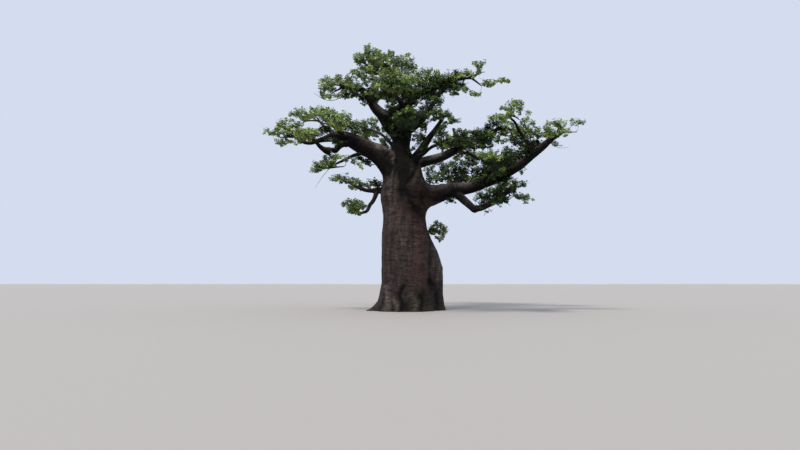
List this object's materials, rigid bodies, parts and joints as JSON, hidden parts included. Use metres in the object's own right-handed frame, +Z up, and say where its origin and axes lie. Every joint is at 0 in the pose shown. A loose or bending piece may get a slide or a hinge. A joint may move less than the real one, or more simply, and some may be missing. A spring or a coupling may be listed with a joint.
{
  "type": "baobab tree",
  "caption": "Broad baobab in full leaf: a stout fluted trunk with flared roots and a fused side stem, thick gnarled boughs and flat tiers of foliage, cut flat at ground level.",
  "frame": {"origin": "on level ground in the flat cut under the trunk, below the middle of its fork", "axes": "+Z up, +X to the right in the reference view, +Y away from the viewer in that view"},
  "size_m": [18.0162, 16.0508, 16.0244],
  "materials": {
    "bark": "rough folded bark",
    "foliage": "satin leaves"
  },
  "bodies": {
    "root": {"trunk": "bark", "leader": "bark", "bough_left": "bark", "bough_right": "bark", "bough_right_rise": "bark", "bough_right_upper": "bark", "bough_right_inner": "bark", "bough_front": "bark", "bough_back": "bark", "bough_back_left": "bark", "bough_back_right": "bark", "branch_side_left": "bark", "branch_low_left": "bark", "fork_left": "bark", "fork_crown": "bark", "fork_front": "bark", "fork_back": "bark", "fork_right": "bark", "fork_right_back": "bark", "limb_top_left": "bark", "limb_hook": "bark", "limb_hook_rise": "bark", "limb_left_back": "bark", "limb_left_up": "bark", "limb_left_low": "bark", "limb_right_low": "bark", "limb_right_low_rise": "bark", "limb_right_mid": "bark", "limb_right_upright": "bark", "limb_upper_side": "bark", "limb_upper_front": "bark", "limb_inner_side": "bark", "leaves_left_tip": "foliage", "leaves_left_hook": "foliage", "leaves_left_top": "foliage", "leaves_left_back": "foliage", "leaves_left_low": "foliage", "leaves_side_left": "foliage", "leaves_low_left": "foliage", "leaves_crest_left": "foliage", "leaves_top_left": "foliage", "leaves_top": "foliage", "leaves_top_front": "foliage", "leaves_top_back": "foliage", "leaves_crest_right": "foliage", "leaves_crest_mid": "foliage", "leaves_inner": "foliage", "leaves_inner_side": "foliage", "leaves_upper": "foliage", "leaves_upper_side": "foliage", "leaves_upper_front": "foliage", "leaves_right_upright": "foliage", "leaves_right_tip": "foliage", "leaves_right_mid": "foliage", "leaves_right_low": "foliage", "leaves_front": "foliage", "leaves_back": "foliage", "leaves_back_left": "foliage", "leaves_back_right": "foliage", "leaves_trunk": "foliage"}
  },
  "joints": []
}
